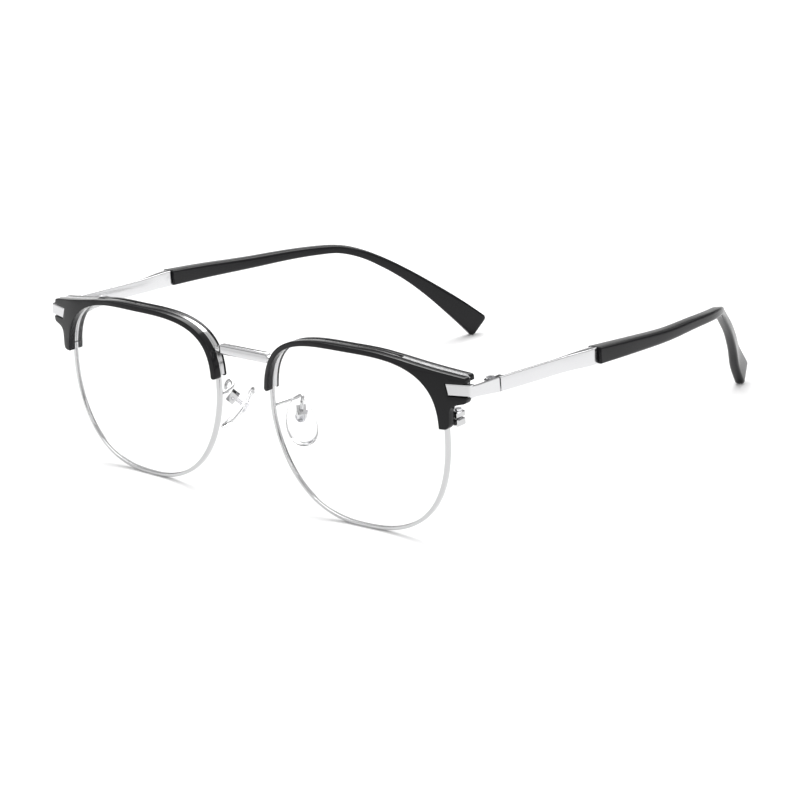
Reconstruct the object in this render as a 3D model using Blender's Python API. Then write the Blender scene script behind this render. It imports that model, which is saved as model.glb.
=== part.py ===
"""Half rim (browline) eyeglasses, modelled open and standing on a flat surface.

Metres, +Z up. The wearer looks along -Y, the temples run back along +Y, and +X is the
wearer's left. Every piece is modelled on the wearer's left and mirrored to the right.
The front is laid out in front coordinates: x runs outward from the middle plane, v runs
up the front, and w runs back from the front face of the eyewire. They are wrapped onto
a sphere, tilted, and only then placed in the world.
"""
import math

import bmesh
import bpy
from mathutils import Matrix, Vector

MM = 0.001

# ---- driving dimensions --------------------------------------------------------------
LENS_WIDTH = 53.3 * MM
LENS_RISE = 17.1 * MM              # above the widest level of the lens
LENS_DROP = 24.9 * MM              # below it
LENS_MIDDLE_X = 36.45 * MM         # from the middle plane of the frame
LENS_LEVEL_V = 21.5 * MM
TOP_NASAL_ROUNDNESS = 3.15         # superellipse powers of the four lens quarters
TOP_OUTER_ROUNDNESS = 2.85
LOW_NASAL_ROUNDNESS = (1.83, 2.25)  # at the side, at the bottom
LOW_OUTER_ROUNDNESS = (2.2, 2.6)

FACE_RADIUS = 140.0 * MM           # the front follows a sphere of this radius
FACE_TILT = math.radians(7.1)
FACE_WRAP = math.radians(2.4)
FACE_ORIGIN = Vector((37.84, 2.99, 4.32)) * MM

WIRE_HEIGHT = 0.9 * MM             # eyewire, across the rim
WIRE_DEPTH = 1.15 * MM             # eyewire, front to back
GROOVE_DEPTH = 0.35 * MM
GROOVE_HALF = 0.32 * MM
LENS_THICKNESS = 1.0 * MM
LENS_INSET = 0.3 * MM              # bevel of the lens edge inside the rim
LENS_SEAT = 0.1 * MM               # how far the lens edge stands into the groove

BROW_FRONT_DEPTH = 1.85 * MM
BROW_REAR_DEPTH = 1.3 * MM
BROW_FRONT_LEG = 1.5 * MM          # width of the nasal end
BROW_REAR_LEG = 1.1 * MM
BROW_FRONT_CHAMFER = 0.25 * MM
BROW_REAR_CHAMFER = 0.2 * MM
BROW_NASAL_V = 25.2 * MM           # lower ends of the brow
BROW_OUTER_V = 23.6 * MM
BROW_TURN = math.pi / 2 - 0.62     # polar angle where the top edge turns straight
TOP_LINE_START = Vector((49.0, 39.0)) * MM
TOP_LINE_END = Vector((70.4, 35.25)) * MM
STRAIGHT_X = 52.0 * MM
LAYER_GAP = 0.08 * MM              # between the brow pieces and the metal
PART_GAP = 0.12 * MM               # between the corner plate and the horns

PLATE_X = 71.3 * MM                # outer end of the metal plate between the horns
PLATE_TOP_V = 34.1 * MM
PLATE_LOW_V = 31.3 * MM
HORN_X = 69.9 * MM
REAR_HORN_X = 69.2 * MM
# corners of the brow's outer end below the plate: x, v and rounding
LOWER_HORN = ((64.8, 34.1, 0.0), (65.6, 31.3, 0.0), (70.5, 31.1, 0.5), (69.9, 29.7, 0.9),
              (65.9, 28.9, 2.2), (65.6, 23.6, 1.7))
REAR_LEG = ((64.1, 34.1, 0.8), (64.1, 23.6, 0.5))

BRIDGE_CENTRE = Vector((0.0, 4.95, 36.6)) * MM
# half of the bridge from the rim inwards: x, depth, height and step back, in mm
BRIDGE_STATIONS = ((9.4, 1.7, 1.1, -0.1), (8.5, 1.7, 1.1, -0.1), (8.1, 1.35, 2.1, -0.05), (7.4, 1.6, 2.5, 0.0))

LOCK_V = 25.4 * MM                 # level at which the eyewire is split by the rim lock
LOCK_SLIT = 0.3 * MM
LOCK_SLIT_Z = 30.35 * MM
LOCK_LOW_Z = 28.5 * MM
LOCK_TOP_Z = 31.9 * MM
LOCK_SIZE = Vector((1.9, 2.9)) * MM
LOCK_CENTRE = Vector((65.15, 8.05)) * MM
LOCK_BORE = 0.55 * MM
LOCK_SHANK = 0.4 * MM
LOCK_HEAD = 0.85 * MM

LUG_X = 68.9 * MM
LUG_WIDTH = 1.5 * MM
HINGE_AXIS = Vector((68.9, 15.5, 36.8)) * MM
HINGE_RADIUS = 1.6 * MM
HINGE_TOP_Z = 37.9 * MM
HINGE_LOW_Z = 35.2 * MM
HINGE_MIDDLE_HALF = 0.58 * MM      # half height of the middle knuckle
HINGE_PLAY = 0.1 * MM
HINGE_BORE = 0.75 * MM
HINGE_SHANK = 0.6 * MM
HINGE_HEAD = 1.1 * MM
CASE_SIZE = Vector((1.9, 6.0, 1.9)) * MM
CASE_CENTRE = Vector((69.45, 20.8, 36.0)) * MM
CASE_SLOPE = math.radians(-2.6)
KNUCKLE_STEM_Y = 18.6 * MM         # the upright that joins the knuckles to the case

# flat metal along the side: y, outer face x, thickness, upper edge z and lower edge z, in mm;
# first the strip that carries the corner plate back to the seam, then the temple
STRIP_STATIONS = (
    (6.7, 70.95, 0.9, 38.9, 36.45), (7.6, 71.4, 0.9, 38.9, 36.35), (9.0, 71.6, 0.9, 38.87, 36.15),
    (15.3, 71.7, 0.9, 38.75, 35.3))
TEMPLE_STATIONS = (
    (15.75, 71.7, 0.9, 38.75, 35.3), (26.0, 71.8, 0.9, 38.2, 34.6),
    (35.0, 71.95, 0.9, 37.7, 34.1), (38.5, 72.2, 1.1, 37.6, 33.9), (42.0, 72.9, 1.7, 37.55, 33.75),
    (45.0, 73.4, 2.0, 37.5, 33.5), (47.6, 73.5, 2.1, 37.4, 33.4))
TEMPLE_CORNER = 0.15 * MM
# the temple tip: x, y and z of its middle, then thickness and height, in mm
TIP_STATIONS = (
    (72.6, 47.9, 35.45, 4.0, 4.0), (72.4, 60.0, 34.4, 3.8, 3.7), (71.4, 75.0, 33.0, 3.6, 3.1),
    (69.5, 88.2, 32.2, 3.4, 2.6), (67.7, 97.6, 31.4, 3.3, 2.3), (65.2, 104.5, 30.5, 2.9, 2.1),
    (61.8, 109.6, 28.5, 2.6, 2.2), (58.7, 115.0, 25.0, 2.4, 2.6), (55.6, 121.0, 20.3, 2.3, 3.1),
    (52.3, 126.7, 14.9, 2.4, 4.1), (48.8, 132.3, 8.9, 2.6, 5.6), (46.3, 138.1, 2.7, 2.6, 6.8))
TIP_CORNER = 0.5 * MM

PAD_CENTRE = Vector((11.0, 11.3, 19.6)) * MM
PAD_LONG = Vector((6.9, -5.0, -9.5)).normalized()
PAD_ACROSS = Vector((5.0, 6.9, 0.0)).normalized()
PAD_OUT = PAD_LONG.cross(PAD_ACROSS)   # away from the nose
PAD_LENGTH = 13.2 * MM
PAD_WIDTH = 7.5 * MM
PAD_TAPER = 0.14
PAD_THICKNESS = 1.9 * MM
PAD_BOW = 1.1 * MM                 # the middle of the pad stands out towards the nose
# share of the outline and depth for each ring of the pad, from the nose side
PAD_RINGS = ((0.55, -0.5), (0.86, -0.36), (1.0, -0.02), (0.9, 0.34), (0.6, 0.5))
PAD_STEPS = 24
PIVOT = PAD_CENTRE + PAD_OUT * 2.3 * MM - PAD_LONG * 1.4 * MM
PAD_BORE = 0.42 * MM
PAD_SHANK = 0.3 * MM
PAD_SCREW_HEAD = 0.6 * MM
STEM_HALF = 0.45 * MM
STEM_LENGTH = 1.5 * MM
PAD_BOX_LENGTH = 2.6 * MM
# the pad box in section: across the pad, and out from it, in mm
PAD_BOX_OUTLINE = ((-1.15, -0.85), (-0.65, -0.85), (-0.65, 0.95), (0.65, 0.95),
                   (0.65, -0.85), (1.15, -0.85), (1.15, 1.3), (-1.15, 1.3))
ARM_RADIUS = 0.42 * MM
# the pad arm: its run from the rim, then from the back of the box, in mm
ARM_FOOT = Vector((9.3, 20.7)) * MM
ARM_FROM_RIM = ((0.0, 0.6, 0.0), (0.35, 2.4, 0.1), (1.6, 5.4, 0.5))
ARM_FROM_BOX = ((-0.2, 0.7, 2.9), (0.3, -0.1, 1.7), (0.0, 0.0, 0.0))
ARM_END = 1.85 * MM                # from the pivot to the soldered end

# ---- resolution ----------------------------------------------------------------------
RIM_STEPS = 84
BROW_STEPS = 40
LENS_STEPS = 56
DENSE_STEPS = 400
FLANGE_STEPS = 10
GRID = 3.4 * MM                    # all layers of the front bend along this grid
FRONT_REACH = 73.0 * MM            # how far the grid runs outward and up
FRONT_RISE = 43.0 * MM

SIDES = (("L", 1), ("R", -1))


# ---- scene and materials -------------------------------------------------------------
def clear_scene():
    for item in list(bpy.data.objects):
        bpy.data.objects.remove(item)


def material(name, colour, roughness, metallic, alpha=1.0):
    made = bpy.data.materials.new(name)
    made.use_nodes = True
    shader = made.node_tree.nodes["Principled BSDF"]
    shader.inputs["Base Color"].default_value = (*colour, 1.0)
    shader.inputs["Roughness"].default_value = roughness
    shader.inputs["Metallic"].default_value = metallic
    shader.inputs["Alpha"].default_value = alpha
    made.diffuse_color = (*colour, alpha)
    return made


def emit(name, bm, look, side=1, origin=Vector((0.0, 0.0, 0.0)), smooth=35.0):
    """Turn a bmesh in world metres into a named object, mirrored where side is -1."""
    if side < 0:
        for vert in bm.verts:
            vert.co.x = -vert.co.x
    if bm.calc_volume(signed=True) < 0:
        bmesh.ops.reverse_faces(bm, faces=bm.faces)
    place = Vector((origin.x * side, origin.y, origin.z))
    bmesh.ops.translate(bm, verts=bm.verts, vec=-place)
    mesh = bpy.data.meshes.new(name)
    bm.to_mesh(mesh)
    bm.free()
    mesh.shade_smooth()
    mesh.set_sharp_from_angle(angle=math.radians(smooth))
    mesh.materials.append(look)
    made = bpy.data.objects.new(name, mesh)
    made.location = place
    COLLECTION.objects.link(made)
    return made


# ---- shape helpers -------------------------------------------------------------------
def loft(rings, closed=False):
    """Skin a row of equal rings. A closed row joins its last ring to its first."""
    bm = bmesh.new()
    rows = [[bm.verts.new(point) for point in ring] for ring in rings]
    count = len(rows[0])
    last = len(rows) if closed else len(rows) - 1
    for row in range(last):
        here, there = rows[row], rows[(row + 1) % len(rows)]
        for i in range(count):
            j = (i + 1) % count
            bm.faces.new((here[i], here[j], there[j], there[i]))
    if not closed:
        bm.faces.new(rows[0])
        bm.faces.new(tuple(reversed(rows[-1])))
    bmesh.ops.recalc_face_normals(bm, faces=bm.faces)
    return bm


def box(size, centre, turn=None, bevel=0.0):
    bm = bmesh.new()
    bmesh.ops.create_cube(bm, size=1.0)
    bmesh.ops.scale(bm, verts=bm.verts, vec=size)
    if bevel:
        bmesh.ops.bevel(bm, geom=bm.edges[:], offset=bevel, segments=1, affect="EDGES")
    if turn:
        bmesh.ops.transform(bm, verts=bm.verts, matrix=turn)
    bmesh.ops.translate(bm, verts=bm.verts, vec=centre)
    return bm


def rod(start, end, radius, segments=16):
    """A closed cylinder between two points."""
    along = end - start
    bm = bmesh.new()
    bmesh.ops.create_cone(bm, cap_ends=True, segments=segments, radius1=radius, radius2=radius,
                          depth=along.length)
    turn = Vector((0.0, 0.0, 1.0)).rotation_difference(along).to_matrix().to_4x4()
    bmesh.ops.transform(bm, verts=bm.verts, matrix=turn)
    bmesh.ops.translate(bm, verts=bm.verts, vec=(start + end) / 2)
    return bm


def slab(outline, low, high, chamfer=0.0):
    """A plate on the front: a flat outline of (x, v) pairs between two depths."""
    bm = bmesh.new()
    face = bm.faces.new([bm.verts.new((x, v, low)) for x, v in outline])
    lifted = bmesh.ops.extrude_face_region(bm, geom=[face])
    tops = [item for item in lifted["geom"] if isinstance(item, bmesh.types.BMVert)]
    bmesh.ops.translate(bm, verts=tops, vec=(0.0, 0.0, high - low))
    bmesh.ops.recalc_face_normals(bm, faces=bm.faces)
    if chamfer:
        rims = [edge for edge in bm.edges if edge.verts[0].co.z == edge.verts[1].co.z]
        bmesh.ops.bevel(bm, geom=rims, offset=chamfer, segments=1, affect="EDGES", clamp_overlap=True)
    for direction, reach in (((1, 0, 0), FRONT_REACH), ((0, 1, 0), FRONT_RISE)):
        for step in range(1, int(reach / GRID)):
            everything = bm.verts[:] + bm.edges[:] + bm.faces[:]
            bmesh.ops.bisect_plane(bm, geom=everything, plane_co=Vector(direction) * step * GRID,
                                   plane_no=direction, dist=1e-7)
    bmesh.ops.triangulate(bm, faces=bm.faces, ngon_method="EAR_CLIP")
    for vert in bm.verts:
        vert.co = on_front(*vert.co)
    bmesh.ops.recalc_face_normals(bm, faces=bm.faces)
    return bm


def rounded(points, steps=4):
    """An outline from (x, v, radius) corners, with each corner turned into an arc."""
    outline = []
    count = len(points)
    for i, (x, v, radius) in enumerate(points):
        if not radius:
            outline.append((x, v))
            continue
        corner = Vector((x, v))
        before = Vector(points[i - 1][:2]) - corner
        after = Vector(points[(i + 1) % count][:2]) - corner
        reach = radius / math.tan(before.angle(after) / 2)
        reach = min(reach, before.length * 0.49, after.length * 0.49)
        first = corner + before.normalized() * reach
        last = corner + after.normalized() * reach
        for step in range(steps + 1):
            t = step / steps
            point = first * (1 - t) ** 2 + corner * 2 * t * (1 - t) + last * t ** 2
            outline.append((point.x, point.y))
    return outline


def combined(first, unions=(), cuts=()):
    """Boolean union and difference of closed pieces, as one mesh."""
    made = []

    def hold(bm):
        mesh = bpy.data.meshes.new("working")
        bm.to_mesh(mesh)
        bm.free()
        item = bpy.data.objects.new("working", mesh)
        bpy.context.scene.collection.objects.link(item)
        made.append(item)
        return item

    body = hold(first)
    for operation, pieces in (("UNION", unions), ("DIFFERENCE", cuts)):
        for piece in pieces:
            step = body.modifiers.new(operation, "BOOLEAN")
            step.operation = operation
            step.object = hold(piece)
    shaped = body.evaluated_get(bpy.context.evaluated_depsgraph_get())
    mesh = bpy.data.meshes.new_from_object(shaped)
    bm = bmesh.new()
    bm.from_mesh(mesh)
    for item in made:
        bpy.data.objects.remove(item)
    bpy.data.meshes.remove(mesh)
    return bm


# ---- the front's own coordinates -----------------------------------------------------
def on_front(x, v, w):
    """World place of a point x outward, v up and w behind the eyewire's front face."""
    u = x - FACE_ORIGIN.x
    sag = (u * u + v * v) / (2 * FACE_RADIUS)
    back = u * math.sin(FACE_WRAP) + sag * math.cos(FACE_WRAP)
    return Vector((
        FACE_ORIGIN.x + u * math.cos(FACE_WRAP) - (sag + w) * math.sin(FACE_WRAP),
        FACE_ORIGIN.y - v * math.sin(FACE_TILT) + back * math.cos(FACE_TILT) + w * math.cos(FACE_WRAP),
        FACE_ORIGIN.z + v * math.cos(FACE_TILT) + back * math.sin(FACE_TILT),
    ))


def opening(angle):
    """The rim opening, a superellipse with its own power for each quarter."""
    across, up = math.cos(angle), math.sin(angle)
    if up >= 0:
        power = TOP_OUTER_ROUNDNESS if across >= 0 else TOP_NASAL_ROUNDNESS
        height = LENS_RISE
    else:
        side, base = LOW_OUTER_ROUNDNESS if across >= 0 else LOW_NASAL_ROUNDNESS
        power = side + (base - side) * abs(up)
        height = LENS_DROP
    reach = (abs(across) ** power + abs(up) ** power) ** (-1 / power)
    return Vector((LENS_MIDDLE_X + LENS_WIDTH / 2 * reach * across, LENS_LEVEL_V + height * reach * up))


def lens_edge(angle, offset=0.0):
    """A point of the rim opening at this polar angle, moved outward by offset."""
    along = opening(angle + 0.01) - opening(angle - 0.01)
    outward = Vector((along.y, -along.x)).normalized()
    return opening(angle) + outward * offset


def edge_run(start, end, steps):
    """Polar angles from start to end, evenly spaced along the opening's edge."""
    dense = [start + (end - start) * i / DENSE_STEPS for i in range(DENSE_STEPS + 1)]
    points = [opening(angle) for angle in dense]
    length = [0.0]
    for before, after in zip(points, points[1:]):
        length.append(length[-1] + (after - before).length)
    run = []
    k = 0
    for step in range(steps + 1):
        goal = length[-1] * step / steps
        while k < DENSE_STEPS - 1 and length[k + 1] < goal:
            k += 1
        part = min((goal - length[k]) / (length[k + 1] - length[k]), 1.0)
        run.append(dense[k] + (dense[k + 1] - dense[k]) * part)
    return run


def angle_at(level, nasal):
    """Polar angle at which the opening's edge stands at this level."""
    low, high = (math.pi / 2, 3 * math.pi / 2) if nasal else (-math.pi / 2, math.pi / 2)
    for _ in range(50):
        middle = (low + high) / 2
        above = opening(middle).y > level
        if above == nasal:
            low = middle
        else:
            high = middle
    return (low + high) / 2


# ---- the front -----------------------------------------------------------------------
def eyewire():
    """The grooved metal rim, split at the rim lock."""
    middle = WIRE_DEPTH / 2
    section = ((0.0, 0.0), (WIRE_HEIGHT, 0.0), (WIRE_HEIGHT, WIRE_DEPTH), (0.0, WIRE_DEPTH),
               (0.0, middle + GROOVE_HALF), (GROOVE_DEPTH, middle), (0.0, middle - GROOVE_HALF))
    start = angle_at(LOCK_V + LOCK_SLIT / 2, False)
    end = angle_at(LOCK_V - LOCK_SLIT / 2, False) + 2 * math.pi
    rings = []
    for angle in edge_run(start, end, RIM_STEPS):
        rings.append([on_front(*lens_edge(angle, across), deep) for across, deep in section])
    return loft(rings)


def lens():
    """A thin curved lens whose bevelled edge sits in the groove."""
    middle = WIRE_DEPTH / 2
    centre = Vector((LENS_MIDDLE_X, LENS_LEVEL_V - (LENS_DROP - LENS_RISE) / 2))
    run = edge_run(0.0, 2 * math.pi, LENS_STEPS)[:-1]
    rings = []
    for half, shares in ((-0.5, (0.3, 0.65, 1.0)), (0.0, (1.0,)), (0.5, (1.0, 0.65, 0.3))):
        inset = LENS_SEAT if half == 0.0 else -LENS_INSET
        for share in shares:
            ring = []
            for angle in run:
                point = centre + (lens_edge(angle, inset) - centre) * share
                ring.append(on_front(*point, middle + half * LENS_THICKNESS))
            rings.append(ring)
    return loft(rings)


def top_line(x):
    """Height of the straight upper edge that runs out to the temporal corner."""
    run = TOP_LINE_END - TOP_LINE_START
    return TOP_LINE_START.y + run.y * (x - TOP_LINE_START.x) / run.x


def brow_outline(leg, corner):
    """Inner edge along the opening, outer edge just outside it, then the corner."""
    nasal, outer = angle_at(BROW_NASAL_V, True), angle_at(BROW_OUTER_V, False)
    inside = [opening(angle) for angle in edge_run(outer, nasal, BROW_STEPS)]
    outside = []
    for angle in edge_run(nasal, BROW_TURN, BROW_STEPS):
        share = min(max((angle - math.pi / 2) / (nasal - math.pi / 2), 0.0), 1.0)
        width = WIRE_HEIGHT + LAYER_GAP + (leg - WIRE_HEIGHT - LAYER_GAP) * share ** 2
        point = lens_edge(angle, width)
        if point.x < TOP_LINE_START.x:
            outside.append(point)
    ends = (inside[-1], outside[0])
    tip = (ends[0] + ends[1]) / 2 + Vector((0.0, -leg * 0.3))
    round_tip = [(ends[0] + tip) / 2 + Vector((0.0, -leg * 0.08)), tip,
                 (ends[1] + tip) / 2 + Vector((0.0, -leg * 0.08))]
    return [tuple(point) for point in inside + round_tip + outside] + corner


def corner_points(horn_x, low_corners):
    """The temporal corner of a brow piece, from the straight top down to its outer end."""
    inner = opening(angle_at(BROW_OUTER_V, False))
    corners = [(STRAIGHT_X, top_line(STRAIGHT_X), 0.0), (horn_x, top_line(horn_x), 0.9 * MM),
               (horn_x + 0.1 * MM, PLATE_TOP_V, 0.25 * MM)]
    corners += [(x * MM, v * MM, radius * MM) for x, v, radius in low_corners]
    corners.append((inner.x, inner.y - 0.1 * MM, 0.0))
    return rounded(corners)[:-1]


def brow_front():
    outline = brow_outline(BROW_FRONT_LEG, corner_points(HORN_X, LOWER_HORN))
    return slab(outline, -BROW_FRONT_DEPTH, -LAYER_GAP, BROW_FRONT_CHAMFER)


def brow_rear():
    outline = brow_outline(BROW_REAR_LEG, corner_points(REAR_HORN_X, REAR_LEG))
    low = WIRE_DEPTH + LAYER_GAP
    return slab(outline, low, low + BROW_REAR_DEPTH, BROW_REAR_CHAMFER)


def ring_at(centre, across, up, width, height, corner):
    """A rectangle with cut corners, as a ring of eight points."""
    wide, tall = width / 2, height / 2
    marks = ((wide - corner, tall), (wide, tall - corner), (wide, corner - tall), (wide - corner, -tall),
             (corner - wide, -tall), (-wide, corner - tall), (-wide, tall - corner), (corner - wide, tall))
    return [centre + across * a + up * b for a, b in marks]


def side_bar(stations):
    """Flat metal that runs back along the side of the head."""
    rings = []
    for y, outer, thick, top, low in stations:
        centre = Vector((outer - thick / 2, y, (top + low) / 2)) * MM
        rings.append(ring_at(centre, Vector((1, 0, 0)), Vector((0, 0, 1)), thick * MM, (top - low) * MM,
                             TEMPLE_CORNER))
    return loft(rings)


def bridge():
    """The bar between the rims: a full bar with a thinner neck at each end."""
    rings = []
    rows = [(-x, *rest) for x, *rest in BRIDGE_STATIONS] + list(reversed(BRIDGE_STATIONS))
    for x, depth, height, back in rows:
        centre = BRIDGE_CENTRE + Vector((x, back, 0.0)) * MM
        rings.append(ring_at(centre, Vector((0, 1, 0)), Vector((0, 0, 1)), depth * MM, height * MM,
                             depth * 0.28 * MM))
    return loft(rings)


def endpiece():
    """The metal corner: a plate between the horns that wraps round to the side, a flange
    between the brow pieces, and a lug with the middle knuckle of the hinge."""
    top, low = PLATE_TOP_V - PART_GAP, PLATE_LOW_V + PART_GAP
    plate = [(65.0 * MM, top), (PLATE_X, top - 0.05 * MM), (PLATE_X, PLATE_LOW_V - 0.1 * MM),
             (70.9 * MM, PLATE_LOW_V + 0.05 * MM), (65.75 * MM, low)]
    face = slab(plate, -BROW_FRONT_DEPTH - 0.15 * MM, -0.4 * MM, 0.2 * MM)
    run = edge_run(angle_at(PLATE_LOW_V + 0.2 * MM, False), BROW_TURN, FLANGE_STEPS)
    edge = [lens_edge(angle, WIRE_HEIGHT + PART_GAP) for angle in run]
    flange = [tuple(point) for point in edge if point.x > STRAIGHT_X]
    flange += [(x, top_line(x) - 0.02 * MM) for x in (STRAIGHT_X, 68.5 * MM)]
    flange += [(69.1 * MM, 34.9 * MM), (69.2 * MM, PLATE_LOW_V + 0.3 * MM)]
    sheet = slab(flange, -0.03 * MM, WIRE_DEPTH + 0.03 * MM)
    neck = slab([(65.9 * MM, top - 0.3 * MM), (69.1 * MM, top - 0.3 * MM),
                 (69.1 * MM, low + 0.3 * MM), (66.2 * MM, low + 0.3 * MM)], -1.0 * MM, 0.8 * MM)
    centre = Vector((LUG_X, 9.5 * MM, HINGE_AXIS.z - 0.3 * MM))
    block = box(Vector((LUG_WIDTH, 2.6 * MM, 2.2 * MM)), centre, bevel=0.2 * MM)
    tongue = box(Vector((LUG_WIDTH, 6.6 * MM, 2 * HINGE_MIDDLE_HALF)), Vector((LUG_X, 12.5 * MM, HINGE_AXIS.z)))
    reach = Vector((0.0, 0.0, HINGE_MIDDLE_HALF))
    knuckle = rod(HINGE_AXIS - reach, HINGE_AXIS + reach, HINGE_RADIUS)
    return combined(face, (side_bar(STRIP_STATIONS), neck, sheet, block, tongue, knuckle), (hinge_bore(),))


# ---- hinges and temples --------------------------------------------------------------
def hinge_point(z):
    return Vector((HINGE_AXIS.x, HINGE_AXIS.y, z))


def hinge_bore():
    return rod(hinge_point(HINGE_LOW_Z - 2 * MM), hinge_point(HINGE_TOP_Z + 2 * MM), HINGE_BORE)


def hinge_screw():
    shank = rod(hinge_point(HINGE_LOW_Z - 0.15 * MM), hinge_point(HINGE_TOP_Z + 0.3 * MM), HINGE_SHANK)
    head = rod(hinge_point(HINGE_TOP_Z + HINGE_PLAY), hinge_point(HINGE_TOP_Z + 0.55 * MM), HINGE_HEAD)
    slot = box(Vector((2.6, 0.3, 0.4)) * MM, hinge_point(HINGE_TOP_Z + 0.6 * MM))
    return combined(shank, (head,), (slot,))


def hinge_case():
    """The spring case on the inside of the temple, with the two outer knuckles."""
    x, y, z = HINGE_AXIS
    case = box(CASE_SIZE, CASE_CENTRE, Matrix.Rotation(CASE_SLOPE, 4, "X"), 0.3 * MM)
    middle = HINGE_MIDDLE_HALF + HINGE_PLAY
    pieces = [box(Vector((LUG_WIDTH, 1.2 * MM, HINGE_TOP_Z - HINGE_LOW_Z)),
                  Vector((x, KNUCKLE_STEM_Y, (HINGE_TOP_Z + HINGE_LOW_Z) / 2)))]
    for low, high in ((HINGE_LOW_Z, z - middle), (z + middle, HINGE_TOP_Z)):
        pieces.append(rod(hinge_point(low), hinge_point(high), HINGE_RADIUS))
        ear = Vector((LUG_WIDTH, 3.4 * MM, high - low))
        pieces.append(box(ear, Vector((x, y + 1.7 * MM, (low + high) / 2))))
    return combined(case, pieces, (hinge_bore(),))



def temple_tip():
    """The sleeve over the rear of the temple, bent down and widened into a paddle."""
    rings = []
    middles = [Vector(row[:3]) * MM for row in TIP_STATIONS]
    for i, (*_, thick, height) in enumerate(TIP_STATIONS):
        before, after = middles[max(i - 1, 0)], middles[min(i + 1, len(middles) - 1)]
        along = Vector((0, 1, 0)) if i == 0 else (after - before).normalized()
        across = along.cross(Vector((0, 0, 1))).normalized()
        rings.append(ring_at(middles[i], across, across.cross(along), thick * MM, height * MM, TIP_CORNER))
    return loft(rings)


# ---- rim locks -----------------------------------------------------------------------
def lock_point(z):
    return Vector((*LOCK_CENTRE, z))


def lock_block(low, high):
    block = box(Vector((*LOCK_SIZE, high - low)), lock_point((low + high) / 2), bevel=0.25 * MM)
    bore = rod(lock_point(LOCK_LOW_Z - MM), lock_point(LOCK_TOP_Z + MM), LOCK_BORE, 12)
    return combined(block, (), (bore,))


def lock_screw():
    shank = rod(lock_point(LOCK_LOW_Z + 0.3 * MM), lock_point(LOCK_TOP_Z + 0.3 * MM), LOCK_SHANK, 12)
    head = rod(lock_point(LOCK_TOP_Z + 0.12 * MM), lock_point(LOCK_TOP_Z + 0.6 * MM), LOCK_HEAD)
    return combined(shank, (head,))


# ---- nose pads -----------------------------------------------------------------------
def prism(outline, across, up, along, centre, length):
    """A flat outline of (across, up) pairs, drawn out along the third axis."""
    rings = []
    for share in (-0.5, 0.5):
        rings.append([centre + across * a + up * b + along * length * share for a, b in outline])
    return loft(rings)


def nose_pad():
    """A soft domed drop with a short stem on its back for the pad box."""
    rings = []
    for share, depth in PAD_RINGS:
        ring = []
        for step in range(PAD_STEPS):
            angle = 2 * math.pi * step / PAD_STEPS
            long = math.cos(angle) * share
            wide = math.sin(angle) * share * (1 + PAD_TAPER * math.cos(angle))
            lift = depth * PAD_THICKNESS - PAD_BOW * (1 - long * long)
            ring.append(PAD_CENTRE + PAD_LONG * PAD_LENGTH / 2 * long + PAD_ACROSS * PAD_WIDTH / 2 * wide
                        + PAD_OUT * lift)
        rings.append(ring)
    low, high = -3.0 * MM, 0.7 * MM
    stem = prism(((-STEM_HALF, low), (STEM_HALF, low), (STEM_HALF, high), (-STEM_HALF, high)),
                 PAD_ACROSS, PAD_OUT, PAD_LONG, PIVOT, STEM_LENGTH)
    return combined(loft(rings), (stem,), (pad_bore(),))


def pad_bore():
    return rod(PIVOT - PAD_ACROSS * 3 * MM, PIVOT + PAD_ACROSS * 3 * MM, PAD_BORE, 12)


def pad_box():
    outline = [(a * MM, b * MM) for a, b in PAD_BOX_OUTLINE]
    return combined(prism(outline, PAD_ACROSS, PAD_OUT, PAD_LONG, PIVOT, PAD_BOX_LENGTH), (), (pad_bore(),))


def pad_screw():
    shank = rod(PIVOT - PAD_ACROSS * 1.1 * MM, PIVOT + PAD_ACROSS * 1.5 * MM, PAD_SHANK, 12)
    head = rod(PIVOT + PAD_ACROSS * 1.25 * MM, PIVOT + PAD_ACROSS * 1.6 * MM, PAD_SCREW_HEAD, 12)
    return combined(shank, (head,))


def pad_arm(name, look, side):
    """Bent wire from the back of the rim round to the back of the pad box."""
    foot = on_front(*ARM_FOOT, WIRE_DEPTH)
    end = PIVOT + PAD_OUT * ARM_END
    route = [foot + Vector(step) * MM for step in ARM_FROM_RIM]
    route += [end + Vector(step) * MM for step in ARM_FROM_BOX]
    curve = bpy.data.curves.new(name, "CURVE")
    curve.dimensions = "3D"
    curve.bevel_depth = ARM_RADIUS
    curve.bevel_resolution = 2
    curve.resolution_u = 4
    curve.use_fill_caps = True
    line = curve.splines.new("BEZIER")
    line.bezier_points.add(len(route) - 1)
    for mark, place in zip(line.bezier_points, route):
        mark.co = (place.x * side, place.y, place.z)
        mark.handle_left_type = mark.handle_right_type = "AUTO"
    curve.materials.append(look)
    COLLECTION.objects.link(bpy.data.objects.new(name, curve))


def seat():
    """Stand the whole part on the ground, with the middle of its footprint at the origin."""
    bpy.context.view_layer.update()
    corners = [item.matrix_world @ Vector(corner) for item in COLLECTION.objects for corner in item.bound_box]
    low = [min(corner[axis] for corner in corners) for axis in range(3)]
    high = [max(corner[axis] for corner in corners) for axis in range(3)]
    shift = Vector((0.0, (low[1] + high[1]) / 2, low[2]))
    for item in COLLECTION.objects:
        item.location -= shift


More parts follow.
